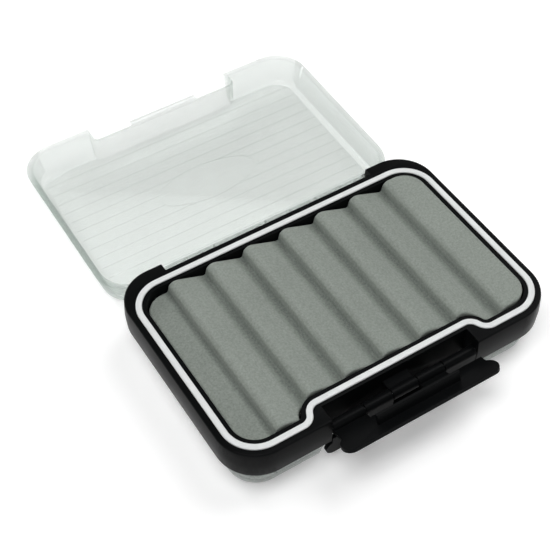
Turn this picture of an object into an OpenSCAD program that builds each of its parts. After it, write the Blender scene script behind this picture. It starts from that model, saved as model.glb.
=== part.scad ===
// Two-sided fly box: a black middle frame with rippled foam and a clear lid on each face.
// Frame of reference: X along the hinge, Y from the latches to the hinge, Z up. The origin is
// under the middle of the seal outline, on the table. The lower lid is shut, the upper one open.

/* [Seal line] */
// Length of the seal's centre line, along X
seal_length = 118; // [110:1:130]
// Width of the seal's centre line, along Y
seal_width = 75.2; // [70:0.2:82]
// Corner radius of the seal's centre line
seal_corner = 11; // [10:0.5:12]
// How far the seal steps in behind the latches
jog_depth = 5.6; // [4.6:0.2:6]
// Half the length of the stepped-in stretch
jog_half = 29; // [27:0.5:32]
// Radius of both bends of the step
jog_radius = 4.3; // [4:0.1:5]
// Width of the seal
seal_band = 2.2; // [2:0.1:2.6]
// Height of the seal above the rim
seal_proud = 0.35; // [0.2:0.05:0.5]

/* [Frame] */
// Height of the frame from rim to rim
frame_height = 11.8; // [11:0.2:14]
// Rim outside the seal's centre line
rim_outside = 2.6; // [2.4:0.1:3]
// Rim inside the seal's centre line
rim_inside = 2.6; // [2.4:0.1:3]
// Bulge of the outer wall at mid height, over the rim's edge
wall_bulge = 1; // [0.8:0.1:1.5]
// Rounding of the rim's outer edge
rim_round = 0.7; // [0.4:0.1:0.9]
// Thickness of the web that carries both foams
web_thick = 1; // [0.8:0.1:1.5]
// Depth of the seal grooves
groove_depth = 1.5; // [1.2:0.1:1.6]

/* [Hinge] */
// Distance of the hinge pin behind the middle of the seal outline
hinge_y = 43.7; // [43.5:0.1:44]
// Radius of the hinge pin
hinge_pin_r = 1; // [0.8:0.1:1.1]
// Radius of the hinge knuckles
knuckle_r = 2.5; // [2.4:0.1:2.6]
// Number of knuckles, shared out to the lids in turn
knuckle_count = 8; // [8:2:8]
// Length from the first knuckle to the last
knuckle_run = 85.2; // [80:0.2:86]

/* [Lids] */
// Rim of the lid outside the seal's centre line
lid_outside = 2.2; // [2:0.1:2.3]
// Width of the lid's rim
lid_rim = 2.4; // [2.2:0.1:2.6]
// Height of a lid
lid_depth = 11.45; // [11:0.05:13]
// Thickness of the lid's flat panel
panel_thick = 1.5; // [1.2:0.1:2]
// Rounding of the lid's outer edge
lid_round = 3; // [2:0.5:4]
// Half width of the notch for the latch
notch_half = 30.5; // [30.5:0.1:31]
// Spacing of the fine ridges inside the panel
ridge_pitch = 5.15; // [4.5:0.05:5.3]
// Half length of the plain oval in the panel
oval_half = 20.5; // [18:0.5:24]

/* [Latches] */
// Distance of the latch pin in front of the middle of the seal outline
latch_y = 39.3; // [39:0.1:39.6]
// Radius of the latch pin
latch_pin_r = 0.9; // [0.7:0.1:1]
// Radius of the latch knuckles
barrel_r = 2; // [1.8:0.1:2.1]
// Length of a flap from the pin to its edge
flap_length = 13.2; // [12:0.2:15]
// Thickness of a flap
flap_thick = 1.5; // [1.3:0.1:1.8]
// Half width of a flap's outer part
flap_half = 30.3; // [29:0.1:30.3]
// Lean of a shut flap towards its lid
latch_lean = 8; // [6:0.5:8]
// Half width of the frame's recess for the latches
recess_half = 28.5; // [28:0.1:29]

/* [Foam] */
// Spacing of the foam's ripples
ripple_pitch = 14.75; // [14.5:0.05:15]
// Number of ripples
ripple_count = 7; // [7:1:7]
// Place of the first crest along X
first_crest = -42.9; // [-43.5:0.1:-42.5]
// Foam crest, measured from the rim plane
crest_level = 0.7; // [0.3:0.1:1]
// Foam trough, measured from the rim plane
trough_level = -3.4; // [-3.6:0.1:-3]
// Thickness of the adhesive sheet under the foam
tape_thick = 0.25; // [0.2:0.05:0.4]

/* [Pose] */
// Opening of the upper lid, as stored
upper_lid_open = 178; // [0:1:180]
// Opening of the upper latch, as stored
upper_latch_open = 78; // [0:1:88]
// Opening of the lower latch, as stored
lower_latch_open = 5; // [5:1:40]

/* [Hidden] */
$fn = 96;

eps = 0.01;
// Length of a cut that runs out of a solid
cut_long = 20;
// Seal outline: corner centres and the bends of its step
corner_x = seal_length / 2 - seal_corner;
corner_y = seal_width / 2 - seal_corner;
front_y = -seal_width / 2;
jog_angle = acos(1 - jog_depth / (2 * jog_radius));
jog_run = 2 * jog_radius * sin(jog_angle);
// Heights, from the frame's middle plane
half_height = frame_height / 2;
lid_gap = 0.05;
lid_base = half_height + seal_proud + lid_gap;
middle_z = lid_base + lid_depth;
web_half = web_thick / 2;
// Hinge blocks at the frame's back corners
block_y = 43.5;
block_corner = 13;
recess_wall_y = 40.7;
side_x = seal_length / 2 + rim_outside;
block_x = side_x - block_corner;
pin_play = 0.05;
pin_end_play = 0.3;
boss_r = knuckle_r + pin_play;
boss_end_x = 49.5;
hinge_pin_half = 49.5;
knuckle_step = knuckle_run / knuckle_count;
knuckle_gap = 0.35;
// Latch recess and its knuckles
recess_y = -34.4;
latch_splits = [-28.2, -15.5, -5, 5, 15.5, 28.2];
latch_pin_half = 32;
knuckle_web = 2.6;
// Lid walls: slope of each face, per unit of height
outer_slope = 0.27;
inner_slope = 0.2;
inner_round = 1.6;
notch_outside = 0.95;
notch_y = front_y + jog_depth - notch_outside;
notch_wall = 1.2;
notch_round = 1.5;
// Catch lip on the lid's notch, and the foot of its hinge arms
lip_half = 14.4;
lip_reach = 2.4;
lip_thick = 1.1;
lip_root = 0.5;
arm_web = 3.4;
arm_foot = 0.8;
// Ridges in the panel, and the line round its plain oval
ridge_rows = 6;
ridge_wide = 0.5;
ridge_high = 0.2;
ridge_half = 54.5;
oval_end_r = 5;
oval_high = 8.5;
oval_line = 0.4;
oval_clear = 0.6;
// Flap, with its catch rib
flap_face = barrel_r;
neck_half = 28.2;
neck_start = 4;
wing_start = 6.4;
wing_corner = (flap_length - wing_start) / 2;
rib_half = 16;
rib_start = 8;
rib_thick = 1.2;
rib_reach = 3.3;
// Foam outline inside the pocket
foam_inset = 3.2;

// ---- outlines ----

// Rectangle with round corners about the seal's corner centres
module round_plan(margin) {
  radius = seal_corner + margin;
  square([2 * corner_x, 2 * (corner_y + radius)], center = true);
  square([2 * (corner_x + radius), 2 * corner_y], center = true);
  for (sx = [-1, 1], sy = [-1, 1])
    translate([sx * corner_x, sy * corner_y]) circle(radius);
}

// What the step takes away from the front edge
module jog_cut(margin) {
  outer_x = jog_half + jog_run;
  bend_in = [-outer_x, front_y + jog_radius];
  bend_out = [-jog_half, front_y + jog_depth - jog_radius];
  below = front_y - cut_long;
  translate([-jog_half, below])
    square([2 * jog_half, front_y + jog_depth - margin - below]);
  for (side = [0, 1]) mirror([side, 0]) {
    difference() {
      polygon([bend_in, bend_out, [-jog_half, below], [-outer_x, below]]);
      translate(bend_in) circle(jog_radius + margin);
    }
    translate(bend_out) circle(jog_radius - margin);
  }
}

// The seal's outline, moved outwards by the margin
module seal_plan(margin) {
  difference() {
    round_plan(margin);
    jog_cut(margin);
  }
}

// ---- general forms ----

// Half of a wall section, closed towards the middle
module half_section(reach, section) {
  last = len(section) - 1;
  polygon(concat([[0, section[last][1]], [0, section[0][1]]],
                 [for (p = section) [reach + p[0], p[1]]]));
}

// Solid block with a wall section swept round four corners.
// A section point is [offset from the rim line, height], from top to bottom.
// Front and back are [corner x, corner y, corner radius].
module swept_block(front, back, section) {
  for (end = [front, back], side = [-1, 1])
    translate([side * end[0], end[1], 0]) rotate_extrude() half_section(end[2], section);
  for (side = [0, 1]) mirror([side, 0, 0])
    translate([0, back[1], 0]) rotate([90, 0, 0]) linear_extrude(back[1] - front[1])
      half_section(front[0] + front[2], section);
  translate([-back[0], 0, 0]) rotate([90, 0, 90]) linear_extrude(2 * back[0])
    half_section(back[1] + back[2], section);
  mirror([0, 1, 0]) translate([-front[0], 0, 0]) rotate([90, 0, 90]) linear_extrude(2 * front[0])
    half_section(-front[1] + front[2], section);
}

module cylinder_x(radius, from_x, to_x) {
  translate([from_x, 0, 0]) rotate([0, 90, 0]) cylinder(r = radius, h = to_x - from_x);
}

// The same moulding for the other face of the box, turned about Y
module turned_over() { rotate([0, 180, 0]) children(); }

module at_hinge() { translate([0, hinge_y, 0]) children(); }

module at_latch() { translate([0, -latch_y, 0]) children(); }

// ---- frame ----

function frame_section() =
  let (edge = [for (a = [0:30:90]) [rim_round * sin(a), half_height - rim_round * (1 - cos(a))]])
  concat(edge, [[wall_bulge, 0]], [for (i = [3:-1:0]) [edge[i][0], -edge[i][1]]]);

module hinge_blocks() {
  at_hinge() for (side = [0, 1]) mirror([side, 0, 0]) {
    cylinder_x(boss_r, knuckle_run / 2, boss_end_x);
    translate([boss_end_x, 0, 0]) sphere(boss_r);
  }
}

module pockets() {
  for (side = [0, 180]) rotate([0, side, 0]) {
    translate([0, 0, web_half]) linear_extrude(half_height) seal_plan(-rim_inside);
    translate([0, 0, half_height - groove_depth]) linear_extrude(groove_depth + 1) difference() {
      seal_plan(seal_band / 2 + 0.05);
      seal_plan(-seal_band / 2 - 0.05);
    }
  }
}

module frame_knuckle() {
  from_x = latch_splits[2] + knuckle_gap / 2;
  long = latch_splits[3] - latch_splits[2] - knuckle_gap;
  at_latch() cylinder_x(barrel_r, from_x, from_x + long);
  translate([from_x, -latch_y, -knuckle_web / 2])
    cube([long, latch_y + recess_y + eps, knuckle_web]);
}

module frame() {
  front = [corner_x, -corner_y, seal_corner + rim_outside];
  back = [block_x, block_y - block_corner, block_corner];
  color([0.05, 0.05, 0.055]) translate([0, 0, middle_z]) difference() {
    union() {
      difference() {
        union() {
          swept_block(front, back, frame_section());
          hinge_blocks();
        }
        pockets();
        translate([-knuckle_run / 2, recess_wall_y, -half_height - 1])
          cube([knuckle_run, cut_long, frame_height + 2]);
        translate([-recess_half, recess_y - cut_long, -half_height - 1])
          cube([2 * recess_half, cut_long, frame_height + 2]);
      }
      frame_knuckle();
    }
    at_hinge() pin_bore(hinge_pin_r, hinge_pin_half);
    at_latch() pin_bore(latch_pin_r, latch_pin_half);
  }
}

module pin_bore(radius, half_length) {
  half_bore = half_length + pin_end_play;
  cylinder_x(radius + pin_play, -half_bore, half_bore);
}

module pin(radius, half_length) {
  chamfer = radius / 4;
  rotate([0, 90, 0]) rotate_extrude()
    polygon([[0, -half_length], [radius - chamfer, -half_length], [radius, chamfer - half_length],
             [radius, half_length - chamfer], [radius - chamfer, half_length], [0, half_length]]);
}

module hinge_pin() {
  color("silver") translate([0, 0, middle_z]) at_hinge() pin(hinge_pin_r, hinge_pin_half);
}

module latch_pin() {
  color("silver") translate([0, 0, middle_z]) at_latch() pin(latch_pin_r, latch_pin_half);
}

// ---- seals and foam ----

module seal_ring() {
  edge = 0.3;
  tall = groove_depth + seal_proud;
  translate([0, 0, half_height - groove_depth]) {
    linear_extrude(tall - edge) difference() {
      seal_plan(seal_band / 2);
      seal_plan(-seal_band / 2);
    }
    linear_extrude(tall) difference() {
      seal_plan(seal_band / 2 - edge);
      seal_plan(edge - seal_band / 2);
    }
  }
}

module upper_seal() { color([0.93, 0.94, 0.93]) translate([0, 0, middle_z]) seal_ring(); }

module lower_seal() {
  color([0.93, 0.94, 0.93]) translate([0, 0, middle_z]) turned_over() seal_ring();
}

// Rise of a ripple over the trough, 0 to 1: a steep round flank, then a long even slope
function ripple(u) =
  u < 0.07 ? 0.05 * pow(u / 0.07, 2)
  : u < 0.105 ? 0.05 + 0.65 * (u - 0.07) / 0.035
  : u < 0.25 ? 0.7 + 0.3 * sin(90 * (u - 0.105) / 0.145)
  : u < 0.37 ? 1 - 0.08 * (1 - cos(90 * (u - 0.25) / 0.12))
  : 0.92 * (1 - (u - 0.37) / 0.63);

ripple_steps = [0, 0.035, 0.07, 0.105, 0.13, 0.16, 0.2, 0.25, 0.29, 0.33, 0.37, 0.9];
crest_at = 0.25;

// Top of the foam, from the rim plane. It starts in a trough and ends on a long flat crest.
function foam_top() =
  let (height = crest_level - trough_level,
       start = first_crest - crest_at * ripple_pitch,
       last_start = start + (ripple_count - 1) * ripple_pitch)
  concat(
    [[-seal_length / 2, trough_level]],
    [for (k = [0:ripple_count - 2]) for (u = ripple_steps)
      [start + (k + u) * ripple_pitch, trough_level + height * ripple(u)]],
    [for (u = ripple_steps) if (u <= crest_at)
      [last_start + u * ripple_pitch, trough_level + height * ripple(u)]],
    [[seal_length / 2, crest_level]]);

module foam_plan() { seal_plan(-foam_inset); }

module foam_insert() {
  base = web_half + tape_thick - half_height - seal_proud;
  translate([0, 0, half_height + seal_proud]) intersection() {
    translate([0, seal_width / 2, 0]) rotate([90, 0, 0]) linear_extrude(seal_width)
      polygon(concat([[seal_length / 2, base], [-seal_length / 2, base]], foam_top()));
    translate([0, 0, base]) linear_extrude(cut_long) foam_plan();
  }
}

module foam_sheet() { translate([0, 0, web_half]) linear_extrude(tape_thick) foam_plan(); }

module upper_foam() { color([0.5, 0.53, 0.5]) translate([0, 0, middle_z]) foam_insert(); }

module lower_foam() {
  color([0.5, 0.53, 0.5]) translate([0, 0, middle_z]) turned_over() foam_insert();
}

module upper_foam_tape() { color([0.8, 0.78, 0.7]) translate([0, 0, middle_z]) foam_sheet(); }

module lower_foam_tape() {
  color([0.8, 0.78, 0.7]) translate([0, 0, middle_z]) turned_over() foam_sheet();
}

// ---- lids, drawn shut over the frame's upper face ----

// Section of a lid's face: sloped from the rim, then rounded into the flat panel
function lid_section(inset, slope, top, round_r) =
  let (lean = atan(slope),
       centre_h = top - round_r,
       centre_off = -inset - slope * centre_h - round_r / cos(lean))
  concat([for (a = [90:-15:lean]) [centre_off + round_r * cos(a), centre_h + round_r * sin(a)]],
         [[centre_off + round_r * cos(lean), centre_h + round_r * sin(lean)], [-inset, 0]]);

module lid_block(section) {
  radius = seal_corner + lid_outside;
  swept_block([corner_x, -corner_y, radius], [corner_x, corner_y, radius], section);
}

// Vertical column behind which the lid's notch lies
module notch_column(half_width, back_y, corner_r) {
  translate([0, 0, -1]) linear_extrude(lid_depth + 2) {
    translate([-half_width, back_y - cut_long]) square([2 * half_width, cut_long - corner_r]);
    translate([corner_r - half_width, back_y - cut_long])
      square([2 * (half_width - corner_r), cut_long]);
    for (side = [-1, 1])
      translate([side * (half_width - corner_r), back_y - corner_r]) circle(corner_r);
  }
}

// Oval with four arcs, grown by the margin
module oval(margin) {
  end_x = oval_half - oval_end_r;
  flat_r = (end_x * end_x + oval_high * oval_high - oval_end_r * oval_end_r)
           / (2 * (oval_high - oval_end_r));
  reach = (flat_r + margin) * end_x / (flat_r - oval_end_r);
  intersection() {
    translate([0, oval_high - flat_r]) circle(flat_r + margin, $fn = 360);
    translate([0, flat_r - oval_high]) circle(flat_r + margin, $fn = 360);
    square([2 * reach, 2 * cut_long], center = true);
  }
  for (side = [-1, 1]) translate([side * end_x, 0]) circle(oval_end_r + margin);
}

module panel_ridges() {
  difference() {
    for (row = [0:ridge_rows - 1], side = [-1, 1])
      translate([-ridge_half, side * (row + 0.5) * ridge_pitch - ridge_wide / 2, 0])
        cube([2 * ridge_half, ridge_wide, ridge_high + eps]);
    translate([0, 0, -1]) linear_extrude(3) oval(oval_clear);
  }
  linear_extrude(ridge_high + eps) difference() {
    oval(oval_line);
    oval(0);
  }
}

// Points where lines from P touch a circle about the pin: the one on the back
function touch_point(p, radius) =
  let (d = norm(p), turn = atan2(p[1], p[0]) - acos(radius / d))
  [radius * cos(turn), radius * sin(turn)];

// Side view of a hinge arm, [y, z] from the pin
module arm_profile() {
  wall_y = seal_width / 2 + lid_outside - hinge_y;
  foot = [wall_y - outer_slope * arm_web, lid_base + arm_web];
  polygon([[0, 0], [-knuckle_r, 0], [-knuckle_r, lid_base], [wall_y - arm_foot, lid_base],
           [foot[0] - arm_foot, foot[1]], foot, touch_point(foot, knuckle_r)]);
}

module lid_arms() {
  for (k = [1:2:knuckle_count - 1]) {
    from_x = -knuckle_run / 2 + k * knuckle_step + knuckle_gap / 2;
    long = knuckle_step - knuckle_gap;
    at_hinge() {
      cylinder_x(knuckle_r, from_x, from_x + long);
      translate([from_x, 0, 0]) rotate([90, 0, 90]) linear_extrude(long) arm_profile();
    }
  }
}

module lid_moulding() {
  difference() {
    union() {
      translate([0, 0, lid_base]) {
        difference() {
          lid_block(lid_section(0, outer_slope, lid_depth, lid_round));
          notch_column(notch_half, notch_y, notch_round);
          difference() {
            lid_block(concat(lid_section(lid_rim, inner_slope, lid_depth - panel_thick, inner_round),
                             [[-lid_rim, -1]]));
            notch_column(notch_half + notch_wall, notch_y + notch_wall, notch_round + notch_wall);
          }
        }
        translate([-lip_half, notch_y - lip_reach, 0])
          cube([2 * lip_half, lip_reach + lip_root, lip_thick]);
        translate([0, 0, lid_depth - panel_thick + eps]) mirror([0, 0, 1]) panel_ridges();
      }
      lid_arms();
    }
    at_hinge() cylinder_x(hinge_pin_r + pin_play, -knuckle_run, knuckle_run);
  }
}

module upper_lid() {
  color([0.82, 0.87, 0.85, 0.5]) translate([0, 0, middle_z])
    at_hinge() rotate([-upper_lid_open, 0, 0]) translate([0, -hinge_y, 0]) lid_moulding();
}

module lower_lid() {
  color([0.82, 0.87, 0.85, 0.5]) translate([0, 0, middle_z]) turned_over() lid_moulding();
}

// ---- latches, drawn upright beside the upper lid, about their pin ----

module flap_plan() {
  translate([-neck_half, neck_start])
    square([2 * neck_half, wing_start + wing_corner - neck_start]);
  translate([wing_corner - flap_half, wing_start])
    square([2 * (flap_half - wing_corner), flap_length - wing_start]);
  for (side = [-1, 1])
    translate([side * (flap_half - wing_corner), wing_start + wing_corner]) circle(wing_corner);
  for (k = [0, 3]) translate([latch_splits[k] + knuckle_gap / 2, 0])
    square([latch_splits[k + 1] - latch_splits[k] - knuckle_gap, neck_start + eps]);
}

module latch_moulding() {
  difference() {
    union() {
      translate([0, flap_thick - flap_face, 0]) rotate([90, 0, 0])
        linear_extrude(flap_thick) flap_plan();
      for (k = [0, 3])
        cylinder_x(barrel_r, latch_splits[k] + knuckle_gap / 2, latch_splits[k + 1] - knuckle_gap / 2);
      translate([-rib_half, flap_thick - flap_face - eps, rib_start])
        cube([2 * rib_half, rib_reach - flap_thick + flap_face, rib_thick]);
    }
    pin_bore(latch_pin_r, latch_pin_half);
  }
}

module upper_latch() {
  color([0.06, 0.06, 0.065]) translate([0, 0, middle_z])
    at_latch() rotate([upper_latch_open - latch_lean, 0, 0]) latch_moulding();
}

module lower_latch() {
  color([0.06, 0.06, 0.065]) translate([0, 0, middle_z])
    turned_over() at_latch() rotate([lower_latch_open - latch_lean, 0, 0]) latch_moulding();
}

frame();
upper_seal();
lower_seal();
upper_foam();
lower_foam();
upper_foam_tape();
lower_foam_tape();
upper_lid();
lower_lid();
hinge_pin();
latch_pin();
upper_latch();
lower_latch();
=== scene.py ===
# %% [markdown]
# # A two-sided fly box
# A black frame carries rippled foam on both faces, a white silicone seal round each rim, and a
# clear lid on each side. The frame model comes from the CAD, in metres. This lesson dresses it:
# the hard mouldings keep their CAD shape or get a softened copy, and the soft pieces, which CAD
# can only rough out, are built here as meshes.

import math

import bmesh
import bpy
import numpy as np
from mathutils import Matrix, Vector


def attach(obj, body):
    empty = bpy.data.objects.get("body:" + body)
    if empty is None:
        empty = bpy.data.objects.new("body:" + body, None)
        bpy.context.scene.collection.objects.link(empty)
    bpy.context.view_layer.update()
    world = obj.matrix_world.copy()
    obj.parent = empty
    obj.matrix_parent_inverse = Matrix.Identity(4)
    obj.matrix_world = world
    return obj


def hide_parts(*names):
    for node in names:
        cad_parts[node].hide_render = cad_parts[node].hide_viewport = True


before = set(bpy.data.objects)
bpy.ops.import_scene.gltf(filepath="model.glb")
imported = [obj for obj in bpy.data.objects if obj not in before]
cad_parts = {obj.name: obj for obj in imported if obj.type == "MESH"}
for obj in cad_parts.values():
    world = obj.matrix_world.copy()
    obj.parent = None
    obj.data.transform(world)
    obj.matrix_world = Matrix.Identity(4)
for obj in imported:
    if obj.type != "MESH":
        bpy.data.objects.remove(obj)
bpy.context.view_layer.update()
print("nodes:", ", ".join(sorted(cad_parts)))

# %% [markdown]
# ## The camera
# The seal's outline is a known shape, so its picture fixes the camera: where it stands, how it
# turns and how long its lens is. The turn is three rotations, and its rows are the camera's axes.

# %% Set up the camera
MM = 0.001
CAMERA_PLACE = (-0.1522, -0.2107, 0.3428)
CAMERA_TURN = (2.5183, -0.3420, -0.4507)
CAMERA_LENS, SENSOR_WIDTH, NEAR_LIMIT = 80.34, 36, 0.01


def add_camera():
    turn = Matrix.Identity(3)
    for axis, angle in zip("XYZ", CAMERA_TURN):
        turn = Matrix.Rotation(angle, 3, axis) @ turn
    columns = Matrix((turn[0], -turn[1], -turn[2])).transposed()
    data = bpy.data.cameras.new("camera")
    data.lens = CAMERA_LENS
    data.sensor_width = SENSOR_WIDTH
    data.clip_start = NEAR_LIMIT
    camera = bpy.data.objects.new("camera", data)
    bpy.context.scene.collection.objects.link(camera)
    camera.matrix_world = Matrix.Translation(CAMERA_PLACE) @ columns.to_4x4()
    bpy.context.scene.camera = camera
    return camera


camera = add_camera()
print("camera looks along", tuple(round(v, 3) for v in -camera.matrix_world.col[2].xyz))

# %% [markdown]
# ## Small tools for materials
# Every finish here is a Principled shader with procedural nodes behind it. These helpers add
# nodes and join them by name, so that each finish below reads as a short recipe.


# %% Helpers for node recipes
def new_material(name):
    made = bpy.data.materials.new(name)
    made.use_nodes = True
    return made, made.node_tree, made.node_tree.nodes["Principled BSDF"]


def add_node(tree, kind, settings=None, **inputs):
    node = tree.nodes.new(kind)
    for key, value in (settings or {}).items():
        setattr(node, key, value)
    for key, value in inputs.items():
        socket = node.inputs[key.replace("_", " ")]
        if isinstance(value, bpy.types.NodeSocket):
            tree.links.new(value, socket)
        else:
            socket.default_value = value
    return node


def noise(tree, scale, detail=2.0, place=None, roughness=0.5):
    place = place or add_node(tree, "ShaderNodeTexCoord").outputs["Object"]
    return add_node(tree, "ShaderNodeTexNoise", Vector=place, Scale=scale, Detail=detail,
                    Roughness=roughness).outputs["Fac"]


def ramp(tree, value, low, high, from_low=0.3, from_high=0.7):
    return add_node(tree, "ShaderNodeMapRange", Value=value, From_Min=from_low,
                    From_Max=from_high, To_Min=low, To_Max=high).outputs["Result"]


def two_colours(tree, value, dark, light):
    mix = add_node(tree, "ShaderNodeMix", {"data_type": "RGBA"})
    tree.links.new(value, mix.inputs["Factor"])
    for socket in mix.inputs:
        if socket.type == "RGBA":
            socket.default_value = (*(dark if socket.name == "A" else light), 1)
    return next(s for s in mix.outputs if s.type == "RGBA")


def combine(tree, operation, first, second):
    node = add_node(tree, "ShaderNodeMath", {"operation": operation})
    for socket, value in zip(node.inputs, (first, second)):
        if isinstance(value, bpy.types.NodeSocket):
            tree.links.new(value, socket)
        else:
            socket.default_value = value
    return node.outputs[0]


def bump(tree, height, strength, distance, under=None):
    node = add_node(tree, "ShaderNodeBump", Height=height, Strength=strength, Distance=distance)
    if under:
        tree.links.new(under, node.inputs["Normal"])
    return node.outputs["Normal"]


def dress(piece, material):
    piece.data.materials.clear()
    piece.data.materials.append(material)


# %% [markdown]
# ## Black moulding
# The frame and the latches are black ABS with a fine satin grain from the mould. Black plastic
# is never pure black: it is a very dark grey whose shape shows only in its soft shine, so the
# roughness and the grain matter more than the colour.


# %% Black ABS
BLOTCH_SCALE, GRAIN_SCALE = 60, 5200
DARK_BLACK, LIGHT_BLACK = (0.0026, 0.0029, 0.0031), (0.0046, 0.005, 0.0053)


def black_plastic():
    made, tree, shader = new_material("black_moulding")
    blotch = noise(tree, BLOTCH_SCALE, 3)
    grain = noise(tree, GRAIN_SCALE, 2)
    tree.links.new(two_colours(tree, blotch, DARK_BLACK, LIGHT_BLACK),
                   shader.inputs["Base Color"])
    tree.links.new(ramp(tree, blotch, 0.3, 0.38), shader.inputs["Roughness"])
    shader.inputs["Specular IOR Level"].default_value = 0.042
    tree.links.new(bump(tree, grain, 0.25, 0.00004), shader.inputs["Normal"])
    return made


black = black_plastic()
print("made", black.name)

# %% [markdown]
# ## Edges that a mould leaves
# No moulded edge is truly sharp, and the thin shine along a rounded edge is most of what the eye
# sees of black plastic, and of clear plastic too. The CAD edges are sharp, so each hard moulding
# is a copy of its CAD mesh with only its sharp edges bevelled. The shallow angles inside a curve
# are left alone, and so, on the lids, are edges beside a strip too narrow for a bevel on each side.


# %% Softened copies of the mouldings
SHARP = math.radians(28)
SMOOTH = math.radians(14)
FLAT = math.radians(1)
JOIN_WITHIN = 0.001 * MM
BEVEL_STEPS = 3
FRAME_EDGE, LATCH_EDGE = 0.22 * MM, 0.3 * MM


def narrow(edge, limit):
    """True where a face beside the edge is a strip narrower than the limit."""
    return any(2 * f.calc_area() / f.calc_perimeter() < limit for f in edge.link_faces)


def softened(node, name, body, width, material, keep_narrow=0.0):
    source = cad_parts[node]
    mesh = source.data.copy()
    work = bmesh.new()
    work.from_mesh(mesh)
    bmesh.ops.remove_doubles(work, verts=work.verts, dist=JOIN_WITHIN)
    bmesh.ops.dissolve_limit(work, angle_limit=FLAT, verts=work.verts, edges=work.edges)
    sharp = [e for e in work.edges
             if e.calc_face_angle(0) > SHARP and not narrow(e, keep_narrow)]
    bmesh.ops.bevel(work, geom=sharp, offset=width, offset_type="OFFSET", segments=BEVEL_STEPS,
                    profile=0.5, affect="EDGES", clamp_overlap=True)
    work.to_mesh(mesh)
    work.free()
    mesh.polygons.foreach_set("use_smooth", [True] * len(mesh.polygons))
    mesh.set_sharp_from_angle(angle=SMOOTH)
    piece = bpy.data.objects.new(name, mesh)
    bpy.context.scene.collection.objects.link(piece)
    dress(piece, material)
    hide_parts(node)
    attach(piece, body)
    print(name, len(mesh.polygons), "faces,", len(sharp), "edges rounded")
    return piece


softened("frame", "frame_moulding", "case_frame", FRAME_EDGE, black)
for side in ("upper", "lower"):
    softened(f"{side}_latch", f"{side}_latch_flap", f"{side}_latch_body",
             LATCH_EDGE, black)


# %% [markdown]
# ## Clear moulding
# The lids are clear plastic with the faint grey-green of a thick moulding. Thin walls hardly bend
# the light, so most of it goes straight through, which the shader's alpha does. The rest is bent
# and slightly scattered, which gives the milky look. Absorption inside the plastic darkens the
# places where the eye looks along a wall, and a slow, shallow waviness in the normal stands for
# flow lines.


# %% Clear lid plastic
LID_EDGE, LID_STRIP = 0.3 * MM, 0.6 * MM
CLEAR_LOW, CLEAR_HIGH = (0.88, 0.91, 0.885), (0.92, 0.95, 0.925)
INSIDE_TINT, INSIDE_DENSITY = (0.3, 0.42, 0.36, 1), 80


def clear_plastic():
    made, tree, shader = new_material("clear_moulding")
    shader.inputs["Transmission Weight"].default_value = 0.72
    shader.inputs["Alpha"].default_value = 0.4
    shader.inputs["IOR"].default_value = 1.5
    shader.inputs["Roughness"].default_value = 0.05
    flow = noise(tree, 70, 2)
    tree.links.new(two_colours(tree, flow, CLEAR_LOW, CLEAR_HIGH), shader.inputs["Base Color"])
    tree.links.new(bump(tree, flow, 0.015, 0.0002), shader.inputs["Normal"])
    depth = add_node(tree, "ShaderNodeVolumeAbsorption", Color=INSIDE_TINT,
                     Density=INSIDE_DENSITY)
    tree.links.new(depth.outputs["Volume"], tree.nodes["Material Output"].inputs["Volume"])
    return made


clear = clear_plastic()
for side in ("upper", "lower"):
    softened(f"{side}_lid", f"{side}_lid_moulding", f"{side}_lid_body", LID_EDGE,
             clear, keep_narrow=LID_STRIP)


# %% [markdown]
# ## Steel pins and adhesive sheets
# Both pins are plain drawn steel rod, with faint marks round them. The sheets that hold the foam
# down are a waxy paper colour and hardly show, but each still gets a finish of its own.


# %% Steel and adhesive sheet
def drawn_steel():
    made, tree, shader = new_material("drawn_steel")
    shader.inputs["Metallic"].default_value = 1
    shader.inputs["Base Color"].default_value = (0.56, 0.57, 0.58, 1)
    place = add_node(tree, "ShaderNodeTexCoord").outputs["Object"]
    rings = add_node(tree, "ShaderNodeMapping", Vector=place, Scale=(6, 1, 1)).outputs["Vector"]
    marks = noise(tree, 900, 2, rings)
    tree.links.new(ramp(tree, marks, 0.22, 0.4), shader.inputs["Roughness"])
    return made


def adhesive_sheet():
    made, tree, shader = new_material("adhesive_sheet")
    fibres = noise(tree, 800, 4)
    tree.links.new(two_colours(tree, fibres, (0.5, 0.48, 0.42), (0.64, 0.62, 0.56)),
                   shader.inputs["Base Color"])
    shader.inputs["Roughness"].default_value = 0.8
    return made


steel, sheet_paper = drawn_steel(), adhesive_sheet()
for name in ("hinge_pin", "latch_pin"):
    dress(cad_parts[name], steel)
for name in ("upper_foam_tape", "lower_foam_tape"):
    dress(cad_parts[name], sheet_paper)
print("made", steel.name, "and", sheet_paper.name)

# %% [markdown]
# ## The outline that seal and foam share
# The seal runs round the rim and steps in behind the latches. Its line is four round corners and
# two S-bends. The foam's edge is the same line moved inwards, so one function gives both.

# %% The outline's measures
MIDDLE = 17.75 * MM
RIM = MIDDLE + 5.9 * MM
SEAL_TOP = RIM + 0.35 * MM
HALF_X, HALF_Y, CORNER = 59 * MM, 37.6 * MM, 11 * MM
STEP_HALF, STEP_IN, STEP_BEND = 29 * MM, 5.6 * MM, 4.3 * MM
STEP_TURN = math.acos(1 - STEP_IN / (2 * STEP_BEND))
STEP_RUN = 2 * STEP_BEND * math.sin(STEP_TURN)


def arc(centre, radius, start, end, pieces):
    return [(centre[0] + radius * math.cos(a), centre[1] + radius * math.sin(a))
            for a in np.linspace(start, end, pieces + 1)]


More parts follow.
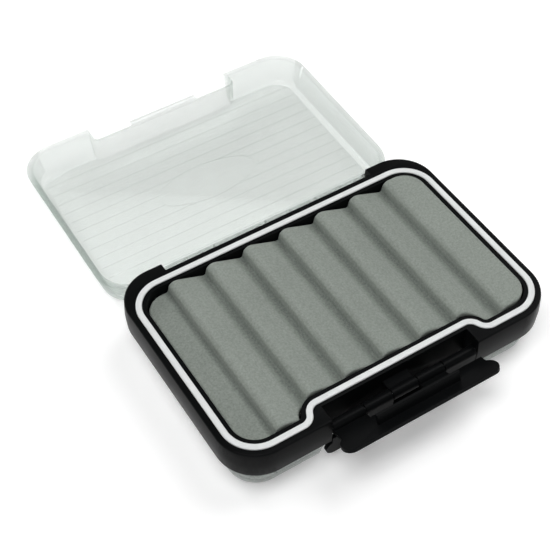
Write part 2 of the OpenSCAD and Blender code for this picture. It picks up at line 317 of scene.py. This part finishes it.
def outline(margin, pieces=14):
    """The seal line, anticlockwise from the front right, moved outwards by the margin."""
    cx, cy, quarter = HALF_X - CORNER, HALF_Y - CORNER, math.pi / 2
    bend_in = (STEP_HALF + STEP_RUN, -HALF_Y + STEP_BEND)
    bend_out = (STEP_HALF, -HALF_Y + STEP_IN - STEP_BEND)
    right = arc(bend_out, STEP_BEND - margin, quarter, quarter - STEP_TURN, pieces)
    right += arc(bend_in, STEP_BEND + margin, -quarter - STEP_TURN, -quarter, pieces)
    right += arc((cx, -cy), CORNER + margin, -quarter, 0, pieces)
    right += arc((cx, cy), CORNER + margin, 0, quarter, pieces)
    left = [(-x, y) for x, y in reversed(right)]
    return tidy_line(right + left)


def tidy_line(points):
    kept = [points[0]]
    for p in points[1:]:
        if math.dist(p, kept[-1]) > 0.01 * MM:
            kept.append(p)
    return kept


print("seal line has", len(outline(0)), "points")


# %% [markdown]
# ## The white seals
# Each seal is a strip of silicone pressed into a groove and standing a little proud. It is built
# by carrying a small rounded section along the outline. The section's shoulders are soft, which
# gives the bright line with two thin darker edges.


# %% Sweep the seals
def mesh_piece(name, points, faces, material):
    mesh = bpy.data.meshes.new(name)
    mesh.from_pydata([tuple(p) for p in points], [], faces)
    mesh.validate()
    mesh.update()
    mesh.polygons.foreach_set("use_smooth", [True] * len(mesh.polygons))
    piece = bpy.data.objects.new(name, mesh)
    bpy.context.scene.collection.objects.link(piece)
    dress(piece, material)
    return piece


SEAL_HALF, SEAL_PROUD, SEAL_SHOULDER, SEAL_FOOT = 1.08 * MM, 0.35 * MM, 0.35 * MM, -1.45 * MM
CROWN_EASE, CROWN_DROP = 0.15 * MM, 0.004 * MM


def seal_section():
    """Half widths and heights, from the inner foot over the top to the outer foot."""
    half, proud, shoulder = SEAL_HALF, SEAL_PROUD, SEAL_SHOULDER
    over = [(half, SEAL_FOOT), (half, proud - shoulder)]
    for a in np.linspace(15, 75, 5):
        over.append((half - shoulder * (1 - math.cos(math.radians(a))),
                     proud - shoulder * (1 - math.sin(math.radians(a)))))
    over += [(half - shoulder - CROWN_EASE, proud - CROWN_DROP), (0, proud)]
    return [(-w, h) for w, h in over] + [(w, h) for w, h in reversed(over[:-1])]


def seal_mesh(name, turn, material):
    section = seal_section()
    rings = [outline(offset) for offset, _ in section]
    count, points = len(rings[0]), []
    for ring, (_, height) in zip(rings, section):
        points += [(x * turn, y, MIDDLE + turn * (RIM - MIDDLE + height)) for x, y in ring]
    faces = []
    for s in range(len(section)):
        t = (s + 1) % len(section)
        for i in range(count):
            j = (i + 1) % count
            quad = (s * count + i, s * count + j, t * count + j, t * count + i)
            faces.append(quad)
    piece = mesh_piece(name, points, faces, material)
    point_outwards(piece)
    return piece


def point_outwards(piece):
    work = bmesh.new()
    work.from_mesh(piece.data)
    bmesh.ops.recalc_face_normals(work, faces=work.faces)
    work.to_mesh(piece.data)
    work.free()


def white_silicone():
    made, tree, shader = new_material("white_silicone")
    haze = noise(tree, 140, 3)
    tree.links.new(two_colours(tree, haze, (0.7, 0.72, 0.715), (0.76, 0.775, 0.77)),
                   shader.inputs["Base Color"])
    tree.links.new(ramp(tree, haze, 0.42, 0.55), shader.inputs["Roughness"])
    tree.links.new(bump(tree, noise(tree, 3500), 0.2, 0.00003), shader.inputs["Normal"])
    return made


silicone = white_silicone()
for side, turn in (("upper", 1), ("lower", -1)):
    seal = seal_mesh(f"{side}_seal_strip", turn, silicone)
    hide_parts(f"{side}_seal")
    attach(seal, "case_frame")
    print(seal.name, len(seal.data.polygons), "faces")


# %% [markdown]
# ## The rippled foam
# The foam is moulded in lopsided waves: a steep flank, a round crest, then a long even slope.
# One function gives the height across the waves, and the sheet is laid out in columns from front
# edge to back edge, so its outline follows the step behind the latches.

# %% The ripple's shape
WAVE, WAVES, FIRST_CREST = 14.75 * MM, 7, -42.9 * MM
CREST, TROUGH, CREST_AT = SEAL_TOP + 0.7 * MM, SEAL_TOP - 3.4 * MM, 0.25
FOAM_INSET = 3.2 * MM
FOAM_FOOT = MIDDLE + 0.78 * MM


def wave_rise(u):
    """Height over the trough, 0 to 1, at the share u of one wave."""
    if u < 0.07:
        return 0.05 * (u / 0.07) ** 2
    if u < 0.105:
        return 0.05 + 0.65 * (u - 0.07) / 0.035
    if u < 0.25:
        return 0.7 + 0.3 * math.sin(math.pi / 2 * (u - 0.105) / 0.145)
    if u < 0.37:
        return 1 - 0.08 * (1 - math.cos(math.pi / 2 * (u - 0.25) / 0.12))
    return 0.92 * (1 - (u - 0.37) / 0.63)


def foam_height(x):
    along = (x - FIRST_CREST) / WAVE + CREST_AT
    if along <= 0:
        rise = 0
    elif along >= WAVES - 1 + CREST_AT:
        rise = 1
    else:
        rise = wave_rise(along % 1)
    return TROUGH + (CREST - TROUGH) * rise


def soft_height(x, reach=0.3 * MM):
    """The same wave with its corners eased, as foam has no sharp line."""
    spread = np.linspace(-1, 1, 9)
    weights = 1 - spread ** 2 + 0.1
    return float(np.dot([foam_height(x + reach * s) for s in spread], weights) / weights.sum())


print(f"ripple: {WAVES} waves of {WAVE / MM:.2f} mm, {(CREST - TROUGH) / MM:.1f} mm high")


# %% Where the foam ends, front and back
def foam_front(x):
    x, margin = abs(x), -FOAM_INSET
    cx, cy = HALF_X - CORNER, HALF_Y - CORNER
    if x > cx:
        return -cy - math.sqrt(max((CORNER + margin) ** 2 - (x - cx) ** 2, 0))
    turn_x = STEP_HALF + (STEP_BEND - margin) * math.sin(STEP_TURN)
    bend_x = STEP_HALF + STEP_RUN
    if x < STEP_HALF:
        return -HALF_Y + STEP_IN - margin
    if x < turn_x:
        centre_y = -HALF_Y + STEP_IN - STEP_BEND
        return centre_y + math.sqrt((STEP_BEND - margin) ** 2 - (x - STEP_HALF) ** 2)
    if x < bend_x:
        centre_y = -HALF_Y + STEP_BEND
        return centre_y - math.sqrt(max((STEP_BEND + margin) ** 2 - (x - bend_x) ** 2, 0))
    return -HALF_Y - margin


def foam_back(x):
    x, cx = abs(x), HALF_X - CORNER
    if x > cx:
        return HALF_Y - CORNER + math.sqrt(max((CORNER - FOAM_INSET) ** 2 - (x - cx) ** 2, 0))
    return HALF_Y - FOAM_INSET


# %% [markdown]
# A cut edge of foam is not sharp either. The top rolls down over the last millimetre, and extra
# rows and columns are placed there to carry the curve.


# %% Lay out a foam insert
def spread_stations(low, high, step, roll):
    edge = [0, 0.06, 0.18, 0.36, 0.62, 1.0]
    inner = np.linspace(low + roll, high - roll, max(2, round((high - low - 2 * roll) / step) + 1))
    return ([low + roll * e for e in edge[:-1]] + list(inner)
            + [high - roll * e for e in reversed(edge[:-1])])


def roll_down(distance, radius):
    if distance >= radius:
        return 0
    return radius - math.sqrt(max(radius ** 2 - (radius - distance) ** 2, 0))


END_ROLL, EDGE_ROLL, COLUMN_STEP = 1.4 * MM, 0.7 * MM, 0.25 * MM
ROW_STEP, ROW_ROLL = 1 / 30, 0.03
SLOPE_STEP = 0.1 * MM


def foam_mesh(name, turn, material):
    reach = HALF_X - FOAM_INSET
    cx, cy = HALF_X - CORNER, HALF_Y - CORNER
    columns = spread_stations(-reach, reach, COLUMN_STEP, END_ROLL)
    rows = spread_stations(0, 1, ROW_STEP, ROW_ROLL)
    points, width = [], len(rows)
    for x in columns:
        front, back, top = foam_front(x), foam_back(x), soft_height(x)
        slope = (foam_front(x + SLOPE_STEP) - foam_front(x - SLOPE_STEP)) / (2 * SLOPE_STEP)
        lean = math.cos(math.atan(slope)) if abs(x) < cx else 1
        for v in rows:
            y = front + (back - front) * v
            off = min((y - front) * lean, back - y, reach - abs(x))
            if abs(x) > cx and abs(y) > cy:
                off = CORNER - FOAM_INSET - math.hypot(abs(x) - cx, abs(y) - cy)
            down = roll_down(max(off, 0), EDGE_ROLL)
            points.append((x * turn, y, top - down))
    base = len(points)
    ring = ([i * width for i in range(len(columns))]
            + [(len(columns) - 1) * width + j for j in range(1, width)]
            + [i * width + width - 1 for i in range(len(columns) - 2, -1, -1)]
            + [j for j in range(width - 2, 0, -1)])
    points += [(points[i][0], points[i][1], FOAM_FOOT) for i in ring]
    faces = [(i * width + j, (i + 1) * width + j, (i + 1) * width + j + 1, i * width + j + 1)
             for i in range(len(columns) - 1) for j in range(width - 1)]
    for k, top_point in enumerate(ring):
        n = (k + 1) % len(ring)
        faces.append((top_point, base + k, base + n, ring[n]))
    faces.append(tuple(base + k for k in range(len(ring)))[::-1])
    points = [(x, y, MIDDLE + turn * (z - MIDDLE)) for x, y, z in points]
    piece = mesh_piece(name, points, faces, material)
    point_outwards(piece)
    return piece


# %% [markdown]
# ## The foam's colour
# Closed-cell foam is matt, with a fine speckle from its cells and hardly any shine. Its colour is
# made darker in the floors of its valleys. This is painted shade, standing in for the shade that
# falls there.
# Fine noise gives the speckle, small cells give the pores, and the height of a point, measured from
# the middle of the box, tells the shader how deep in a valley it lies and so how much painted shade
# it gets. One flat end is as low as a valley without being as dark, so both ends are kept from the
# full painted shade.


# %% Build and dress both foam inserts
FOAM_DARK, FOAM_PALE = (0.115, 0.132, 0.117), (0.305, 0.335, 0.303)
END_FROM, END_TO = 46.2 * MM, 47.4 * MM
# Painted shade in the valley floors: the colour range it spans and how far up the wave it reaches.
PAINTED_SHADE_SHARE, PAINTED_SHADE_DEPTH, END_SHARE = 0.5, 0.35, 0.3


def grey_foam():
    made, tree, shader = new_material("grey_foam")
    place = add_node(tree, "ShaderNodeTexCoord").outputs["Object"]
    patches = noise(tree, 45, 3, place)
    speckle = noise(tree, 1300, 4, place, 0.75)
    cells = add_node(tree, "ShaderNodeTexVoronoi", Vector=place, Scale=2400).outputs["Distance"]
    where = add_node(tree, "ShaderNodeSeparateXYZ", Vector=place).outputs
    level = combine(tree, "ABSOLUTE", combine(tree, "SUBTRACT", where["Z"], MIDDLE), 0)
    low, high = TROUGH - MIDDLE, CREST - MIDDLE
    # Painted shade: the colour darkens towards the bottom of each valley, where shade falls.
    painted_shade_mask = add_node(tree, "ShaderNodeMapRange", {"interpolation_type": "SMOOTHSTEP"},
                       Value=level, From_Min=low, From_Max=low + PAINTED_SHADE_DEPTH * (high - low),
                       To_Min=0, To_Max=PAINTED_SHADE_SHARE).outputs["Result"]
    # The flat ends are kept out of the full painted shade.
    end_flat = ramp(tree, combine(tree, "ABSOLUTE", where["X"], 0), 0, END_SHARE,
                    END_FROM, END_TO)
    painted_shade_mask = combine(tree, "MAXIMUM", painted_shade_mask, end_flat)
    cells_share = ramp(tree, speckle, 0, 0.4, 0.36, 0.64)
    total = combine(tree, "ADD", ramp(tree, patches, 0, 0.1), cells_share)
    total = combine(tree, "ADD", total, painted_shade_mask)
    tree.links.new(two_colours(tree, total, FOAM_DARK, FOAM_PALE),
                   shader.inputs["Base Color"])
    shader.inputs["Roughness"].default_value = 0.92
    shader.inputs["Specular IOR Level"].default_value = 0.25
    pores = bump(tree, cells, 0.35, 0.00012)
    tree.links.new(bump(tree, speckle, 0.4, 0.0001, pores), shader.inputs["Normal"])
    return made


foam = grey_foam()
for side, turn in (("upper", 1), ("lower", -1)):
    insert = foam_mesh(f"{side}_foam_insert", turn, foam)
    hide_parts(f"{side}_foam")
    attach(insert, "case_frame")
    print(insert.name, len(insert.data.polygons), "faces")

# %% [markdown]
# ## Floor
# A plain pale floor. Paper lit from above is nearly white. The last step to white is a faint glow
# that only the camera, a look through the clear lid or a reflection can see, so that it puts no
# light on the box, and the box's own shadow stays. The lamps reach less far than the floor does,
# so the glow grows with the distance from the box. The floor lies a hair below the resting face,
# because two faces at one height would flicker.


# %% Floor
def light_paths(tree):
    """Two 0-or-1 values: seen straight or through a clear piece, and seen in a shine."""
    rays = add_node(tree, "ShaderNodeLightPath").outputs
    not_lighting = combine(tree, "LESS_THAN", rays["Diffuse Depth"], 0.5)
    through = combine(tree, "MAXIMUM", rays["Is Camera Ray"], rays["Is Transmission Ray"])
    return [combine(tree, "MULTIPLY", kind, not_lighting)
            for kind in (through, rays["Is Glossy Ray"])]


FLOOR_REACH, FLOOR_UNDER = 3.0, -0.05 * MM
GLOW_NEAR, GLOW_FAR, NEAR_RADIUS, FAR_RADIUS = 0.26, 1, 0.3, 1.6


def pale_floor():
    mesh = bpy.data.meshes.new("floor")
    corners = [(x * FLOOR_REACH, y * FLOOR_REACH, FLOOR_UNDER)
               for x, y in ((-1, -1), (1, -1), (1, 1), (-1, 1))]
    mesh.from_pydata(corners, [], [(0, 1, 2, 3)])
    floor = bpy.data.objects.new("floor", mesh)
    bpy.context.scene.collection.objects.link(floor)
    made, tree, shader = new_material("floor_paper")
    shader.inputs["Base Color"].default_value = (0.92, 0.92, 0.92, 1)
    shader.inputs["Roughness"].default_value = 0.9
    shader.inputs["Specular IOR Level"].default_value = 0.1
    shader.inputs["Emission Color"].default_value = (1, 1, 1, 1)
    place = add_node(tree, "ShaderNodeTexCoord").outputs["Object"]
    distance = add_node(tree, "ShaderNodeVectorMath", {"operation": "LENGTH"},
                        Vector=place).outputs["Value"]
    glow = ramp(tree, distance, GLOW_NEAR, GLOW_FAR, NEAR_RADIUS, FAR_RADIUS)
    seen = combine(tree, "MAXIMUM", *light_paths(tree))
    tree.links.new(combine(tree, "MULTIPLY", seen, glow), shader.inputs["Emission Strength"])
    dress(floor, made)
    return floor


floor = pale_floor()
print("floor is", 2 * FLOOR_REACH, "m wide")


# %% [markdown]
# ## Lamps and room
# Three round soft lamps: high on the right, high on the left, and a small one from behind that
# draws thin lines of light along edges. The room is a plain world. Seen straight, it is white. In
# a shine it is white low down and nearly dark overhead, so that the black plastic keeps its depth.
# For all other rays it has the same pattern at about a third of the strength, which is a dim fill.


# %% Lamps and world
AIM = (0, 0.03, 0.02)
WALL_LOW, WALL_HIGH, WALL_FROM, WALL_TO = 1, 0.08, 0.3, 0.62
ROOM_DIM, ROOM_SHINE = 0.35, 1


def soft_lamp(name, place, size, power):
    data = bpy.data.lights.new(name, "AREA")
    data.shape = "DISK"
    data.size = size
    data.energy = power
    lamp = bpy.data.objects.new(name, data)
    bpy.context.scene.collection.objects.link(lamp)
    lamp.location = place
    lamp.rotation_euler = (Vector(AIM) - Vector(place)).to_track_quat("-Z", "Y").to_euler()
    return lamp


for name, place, size, power in (("key", (0.72, 0.1, 1.2), 0.9, 7.5),
                                 ("top", (-0.4, -0.25, 1.35), 0.9, 11.5),
                                 ("back", (-0.3, 1.25, 0.62), 0.3, 4.5)):
    lamp = soft_lamp(name, place, size, power)
    print("lamp", lamp.name, "gives", power, "W")

world = bpy.data.worlds.new("studio")
world.use_nodes = True
sky = world.node_tree
sky.nodes["Background"].inputs["Color"].default_value = (1, 1, 1, 1)
way = add_node(sky, "ShaderNodeTexCoord").outputs["Generated"]
height = add_node(sky, "ShaderNodeSeparateXYZ", Vector=way).outputs["Z"]
walls = ramp(sky, height, WALL_LOW, WALL_HIGH, WALL_FROM, WALL_TO)
straight, in_a_shine = light_paths(sky)
room = combine(sky, "MULTIPLY", walls, ramp(sky, in_a_shine, ROOM_DIM, ROOM_SHINE, 0, 1))
sky.links.new(combine(sky, "MAXIMUM", straight, room), sky.nodes["Background"].inputs["Strength"])
bpy.context.scene.world = world
bpy.context.scene.view_settings.view_transform = "Standard"
